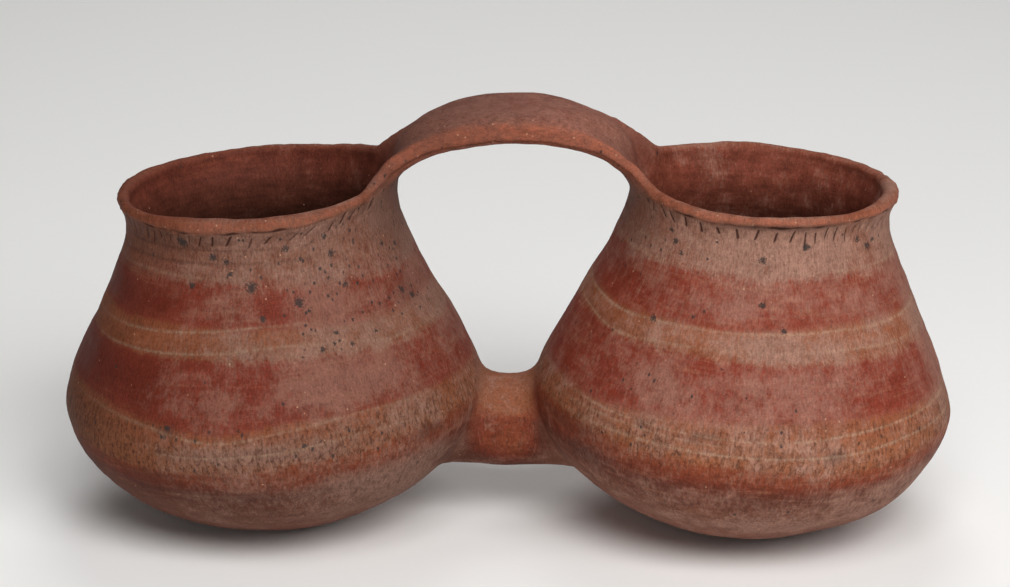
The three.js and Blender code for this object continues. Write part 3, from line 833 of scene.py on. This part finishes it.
def burnished_earthenware():
    """Red earthenware, burnished with a pebble before firing and worn since: a matt clay body with fine
    grit, bands of dark red slip with a dull sheen, a grey film of dust in its pores that also carries
    painted sheen and painted light, orange clay where edges have rubbed bare, and black crusts and
    specks.
    Painted shade darkens the inside, the nicks, the groove under the lip, the clay by the handle's roots
    and the left flank."""
    material = bpy.data.materials.new("burnished_earthenware")
    material.use_nodes = True
    tree = material.node_tree
    node = partial(add, tree)
    shader = tree.nodes["Principled BSDF"]
    place = node("TexCoord", out=3)
    place_mm = node("VectorMath", {0: place, 3: 1000.0}, operation="SCALE")
    names = ("band", "depth", "nick", "line", "bloom", "fresh", "stain_and_shade", "speckled", "worn", "strap",
             "web_top", "pale", "crust_size")
    values = {name: node("Attribute", out=2, attribute_name=name) for name in names}
    crust_place = node("Attribute", out=1, attribute_name="crust_place")
    vectors = dict(place=place_mm, wrap=node("Attribute", out=1, attribute_name="wrap"))
    patterns = []
    for vector, stretch, shift, size, detail, roughness in PATTERNS:
        moved = node("VectorMath", {0: vectors[vector], 1: stretch, 2: shift}, operation="MULTIPLY_ADD")
        inputs = {"Vector": moved, "Scale": 1 / size, "Detail": detail, "Roughness": roughness}
        patterns.append(node("TexNoise", inputs))
    hairs, wisps, pits, streaks, grit, mottle, clouds = patterns

    # The band's row, with edges that waver by a millimetre or so. A pattern's mean is 0.5.
    wavers = ((mottle, 6.0), (streaks, 1.6), (wisps, 5.4))
    mean = 0.5 * sum(weight for pattern, weight in wavers)
    waver = values["band"]
    for pattern, weight in wavers:
        waver = node("Math", {0: pattern, 1: weight, 2: waver}, operation="MULTIPLY_ADD")
    along = node("MapRange", {0: waver, 1: LOWEST_BAND + mean, 2: mean})
    stops = [(1 - row / LOWEST_BAND, colour) for row, colour in BAND_COLOURS]
    colour = node("ValToRGB", {0: along}, stops=stops)
    wear = node("ValToRGB", {0: along}, stops=[(1 - row / LOWEST_BAND, v) for row, v in WEAR_AMOUNTS])
    slip, dust_amount, pit_amount = (node("SeparateColor", {0: wear}, out=k) for k in range(3))

    # Slip that nothing has rubbed is deep red, and where it has rubbed through the buff clay shows.
    fresh = node("Math", {0: mottle, 1: 1.6, 2: -0.8}, operation="MULTIPLY_ADD")
    fresh = node("Math", {0: fresh, 1: values["fresh"]}, operation="ADD")
    fresh = node("Math", {0: fresh, 1: values["fresh"]}, operation="MULTIPLY", use_clamp=True)
    fresh = node("Math", {0: fresh, 1: slip}, operation="MULTIPLY")
    rubbed = node("MapRange", {0: streaks, 1: 0.53, 2: 0.72, 4: 0.45})
    unrubbed = node("Math", {0: 1.0, 1: fresh}, operation="SUBTRACT")
    rubbed = node("Math", {0: rubbed, 1: unrubbed}, operation="MULTIPLY")

    # The inside: red-brown under the lip and darker further down as painted shade, unevenly wiped.
    inner_along = node("MapRange", {0: values["depth"], 1: 0.0, 2: DEEPEST})
    inner_shaded = node("ValToRGB", {0: inner_along}, stops=[(d / DEEPEST, c) for d, c in INSIDE_COLOURS_AND_SHADE])
    wiped = 0.1
    for pattern, weight in ((streaks, 0.9), (mottle, 0.9)):
        wiped = node("Math", {0: pattern, 1: weight, 2: wiped}, operation="MULTIPLY_ADD")
    inner_shaded = node("VectorMath", {0: inner_shaded, 3: wiped}, operation="SCALE")
    inside = node("MapRange", {0: values["depth"], 1: 0.3, 2: 4.0})

    # The grey film of dust, in clouds and wisps, is thinner on slip and on the handle. It also carries
    # painted sheen on the flanks and between the jars, and painted light from the floor on the bases.
    outside = node("Math", {0: 1.0, 1: inside}, operation="SUBTRACT")
    dust_and_sheen_film = node("Math", {0: dust_amount, 1: outside, 2: values["bloom"]}, operation="MULTIPLY_ADD")
    for pattern, weight in ((clouds, 1.2), (mottle, 1.3), (streaks, 0.5), (wisps, 1.4)):
        dust_and_sheen_film = node("Math", {0: pattern, 1: weight, 2: dust_and_sheen_film}, operation="MULTIPLY_ADD")
    dust_and_sheen_film = node("MapRange", {0: dust_and_sheen_film, 1: 2.3, 2: 3.2, 4: 0.85}, interpolation_type="SMOOTHSTEP")
    settled = node("MapRange", {0: values["bloom"], 2: 0.12})
    on_slip = node("MapRange", {0: slip, 3: 1.0, 4: 0.68})
    on_handle = node("MapRange", {0: values["strap"], 3: 1.0, 4: 0.45})
    for share in (settled, on_slip, on_handle):
        dust_and_sheen_film = node("Math", {0: dust_and_sheen_film, 1: share}, operation="MULTIPLY")

    # Pits and pores where the surface has gone, filled with dark dirt. The web's top has few.
    pitted = node("MapRange", {0: pits, 1: 0.42, 2: 0.72, 4: 0.9}, interpolation_type="SMOOTHSTEP")
    whole = node("MapRange", {0: values["web_top"], 3: 1.0, 4: 0.15})
    pitted = node("Math", {0: pitted, 1: whole}, operation="MULTIPLY")
    pitted = node("Math", {0: pitted, 1: pit_amount}, operation="MULTIPLY", use_clamp=True)

    # Bare clay at the lip and along the handle's edges, with a ragged border.
    bare = values["worn"]
    for pattern, weight in ((mottle, 1.8), (hairs, 1.0)):
        bare = node("Math", {0: pattern, 1: weight, 2: bare}, operation="MULTIPLY_ADD")
    bare = node("MapRange", {0: bare, 1: 1.8, 2: 2.6, 4: 0.8})

    # Incised lines show pale clay where they are above 0, and dark dirt below.
    broken = node("MapRange", {0: wisps, 1: 0.34, 2: 0.58, 4: 0.78})
    pale_line = node("Math", {0: broken, 1: values["line"]}, operation="MULTIPLY", use_clamp=True)
    dark_line = node("Math", {0: values["line"], 1: -0.6}, operation="MULTIPLY", use_clamp=True)

    # The layers from the clay up: how much of each shows, and its colour.
    layers = (
        (fresh, "#6a2b1e"),
        (rubbed, "#945a40"),
        (inside, inner_shaded),
        (values["strap"], "#784437"),  # mauve-brown on top of the handle, from many hands
        (values["web_top"], "#8a5137"),
        (dust_and_sheen_film, "#8c6a5c"),
        (pitted, "#4e2d20"),
        (bare, "#8a4d38"),
        (pale_line, "#9a7c66"),
        (dark_line, "#4a2e25"),
    )
    for amount, layer in layers:
        colour = node("Mix", {0: amount, 6: colour, 7: layer}, out=2, data_type="RGBA")

    # The clay is paler towards the right, partly in its own colour and partly as painted shade on the
    # left flank and painted light on the right jar, and fine grain lightens and darkens all of it.
    grain = -0.35
    for pattern, weight in ((hairs, 1.05), (grit, 1.0), (mottle, 0.65)):
        grain = node("Math", {0: pattern, 1: weight, 2: grain}, operation="MULTIPLY_ADD")
    gain = node("Math", {0: values["pale"], 1: grain}, operation="MULTIPLY")
    colour = node("VectorMath", {0: colour, 3: gain}, operation="SCALE")

    # Pale grit grains of half a millimetre, most of them on bare clay.
    grain_cell = {"Vector": place_mm, "Scale": 1 / GRAIN_SPACING}
    grain_near = node("MapRange", {0: node("TexVoronoi", grain_cell), 1: 0.18, 2: 0.08, 4: 0.6})
    draw = node("SeparateColor", {0: node("TexVoronoi", grain_cell, out=1)})
    chance = node("Math", {0: values["worn"], 1: 0.3, 2: 0.04}, operation="MULTIPLY_ADD")
    chosen = node("Math", {0: draw, 1: chance}, operation="LESS_THAN")
    grain_near = node("Math", {0: grain_near, 1: chosen}, operation="MULTIPLY")

    # Stains and nicks are dark, with broken borders. Some of the stains are painted shade by the
    # handle's roots and under the lip.
    stain_and_shade = node("Math", {0: mottle, 1: 2.0, 2: -0.3}, operation="MULTIPLY_ADD", use_clamp=True)
    stain_and_shade = node("Math", {0: stain_and_shade, 1: values["stain_and_shade"]}, operation="MULTIPLY", use_clamp=True)
    # The nicks and the groove under the lip are darkened as painted shade in them, with their dirt.
    nick = node("Math", {0: grit, 1: 0.5, 2: values["nick"]}, operation="MULTIPLY_ADD")
    nick = node("MapRange", {0: nick, 1: 0.5, 2: 0.95, 4: 0.9})

    # Black specks at random, upright and bent by the grit, and the crusts at their own places.
    bend = node("VectorMath", {0: (0.9, 0.9, 0.9), 1: grit, 2: place_mm}, operation="MULTIPLY_ADD")
    bend = node("VectorMath", {0: bend, 1: (1.0, 1.0, 0.6)}, operation="MULTIPLY")
    speck_cell = {"Vector": bend, "Scale": 1 / SPECK_SPACING}
    speck_near = node("MapRange", {0: node("TexVoronoi", speck_cell), 1: 0.3, 2: 0.16})
    draw = node("SeparateColor", {0: node("TexVoronoi", speck_cell, out=1)}, out=1)
    chance = node("Math", {0: values["speckled"], 1: 0.42, 2: 0.01}, operation="MULTIPLY_ADD")
    chosen = node("Math", {0: draw, 1: chance}, operation="LESS_THAN")
    speck = node("Math", {0: speck_near, 1: chosen}, operation="MULTIPLY")
    crust = node("VectorMath", {0: place, 1: crust_place}, out=1, operation="DISTANCE")
    crust = node("Math", {0: crust, 1: values["crust_size"]}, operation="DIVIDE")
    for pattern, weight in ((grit, 2.0), (wisps, 0.8)):
        crust = node("Math", {0: pattern, 1: weight, 2: crust}, operation="MULTIPLY_ADD")
    crust = node("MapRange", {0: crust, 1: 2.45, 2: 1.95})
    dark = node("Math", {0: speck, 1: crust}, operation="MAXIMUM")
    dark = node("Math", {0: dark, 1: 0.86}, operation="MULTIPLY")
    spots = ((grain_near, "#c0957a"), (stain_and_shade, "#3e2a24"), (nick, "#341b15"), (dark, "#332e2c"))
    for amount, layer in spots:
        colour = node("Mix", {0: amount, 6: colour, 7: layer}, out=2, data_type="RGBA")
    tree.links.new(colour, shader.inputs["Base Color"])

    # Burnished slip has a dull sheen, and rubbed or dusty clay has none.
    shader.inputs["Specular IOR Level"].default_value = 0.1
    shader.inputs["IOR"].default_value = 1.45
    rough = 0.58
    for pattern, weight in ((fresh, -0.14), (dust_and_sheen_film, 0.12), (grit, 0.16)):
        rough = node("Math", {0: pattern, 1: weight, 2: rough}, operation="MULTIPLY_ADD")
    tree.links.new(rough, shader.inputs["Roughness"])

    # Grain and grit stand up to a tenth of a millimetre, bare clay crumbles, and specks stand on top.
    crumbs = node("Math", {0: bare, 1: grit}, operation="MULTIPLY")
    height = grit
    for pattern, weight in ((hairs, 0.6), (streaks, 0.4), (crumbs, 2.0), (dark, 0.5)):
        height = node("Math", {0: pattern, 1: weight, 2: height}, operation="MULTIPLY_ADD")
    bump = node("Bump", {"Strength": 0.35, "Distance": 0.0004, "Height": height})
    tree.links.new(bump, shader.inputs["Normal"])
    return material


def matt_white_board():
    """The floor: a matt white board, pale and without pattern."""
    material = bpy.data.materials.new("matt_white_board")
    material.use_nodes = True
    shader = material.node_tree.nodes["Principled BSDF"]
    shader.inputs["Base Color"].default_value = linear("#fbfaf8")
    shader.inputs["Roughness"].default_value = 0.9
    shader.inputs["Specular IOR Level"].default_value = 0.1
    return material


def place_round(azimuth, elevation, distance, middle):
    """A place on a ball round a middle: azimuth from the front to the right, elevation upwards."""
    turn, rise = math.radians(azimuth), math.radians(elevation)
    flat = distance * math.cos(rise)
    offset = (flat * math.sin(turn), -flat * math.cos(turn), distance * math.sin(rise))
    return Vector(middle) + Vector(offset)


def aim(thing, place, target):
    """Puts a camera or a light in its place and turns it to look at the target."""
    thing.location = place
    thing.rotation_euler = (Vector(target) - thing.location).to_track_quat("-Z", "Y").to_euler()
    bpy.context.scene.collection.objects.link(thing)


CAMERA_AZIMUTH, CAMERA_ELEVATION, CAMERA_DISTANCE = 2.74, 18.85, 1.2
CAMERA_TARGET = (0.0, 0.0, 0.08)
AIR_STRENGTH = 0.12
FLOOR_REACH = 8.0
LIGHT_DISTANCE = 1.8
LIGHTS = (
    ("main_light", 35, 38, 1.1, 18.0),
    ("front_light", 5, 50, 1.1, 14.0),
    ("low_light", -5, 10, 1.1, 2.5),
    ("back_light", 180, 50, 1.1, 8.5),
)


def make_camera():
    """A long lens at the photograph's angle, shifted a little for its framing."""
    lens = bpy.data.cameras.new("camera")
    lens.lens, lens.sensor_width = 108.0, 36.0
    lens.shift_x, lens.shift_y = -0.0027, 0.0279
    camera = bpy.data.objects.new("camera", lens)
    where = place_round(CAMERA_AZIMUTH, CAMERA_ELEVATION, CAMERA_DISTANCE, CAMERA_TARGET)
    aim(camera, where, CAMERA_TARGET)
    bpy.context.scene.camera = camera


def make_studio():
    """A pale floor, pale air and soft round lights: the main one from the right of the front."""
    world = bpy.data.worlds.new("studio_air")
    world.use_nodes = True
    world.node_tree.nodes["Background"].inputs["Color"].default_value = (1.0, 1.0, 1.0, 1.0)
    world.node_tree.nodes["Background"].inputs["Strength"].default_value = AIR_STRENGTH
    bpy.context.scene.world = world
    for name, azimuth, elevation, size, power in LIGHTS:
        light = bpy.data.lights.new(name, "AREA")
        light.shape, light.size, light.energy = "DISK", size, power
        where = place_round(azimuth, elevation, LIGHT_DISTANCE, CAMERA_TARGET)
        aim(bpy.data.objects.new(name, light), where, CAMERA_TARGET)
    mesh = bpy.data.meshes.new("floor")
    far = FLOOR_REACH
    corners = [(-far, -far, 0), (far, -far, 0), (far, far, 0), (-far, far, 0)]
    mesh.from_pydata(corners, [], [(0, 1, 2, 3)])
    floor = bpy.data.objects.new("floor", mesh)
    bpy.context.scene.collection.objects.link(floor)
    floor.data.materials.append(matt_white_board())


for startup in ("Cube", "Light", "Camera"):
    if startup in bpy.data.objects:
        bpy.data.objects.remove(bpy.data.objects[startup])
bpy.context.scene.view_settings.view_transform = "Standard"
make_camera()
make_studio()
piece = make_clay()
piece.data.materials.append(burnished_earthenware())
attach(piece, "root")
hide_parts("double_jar")
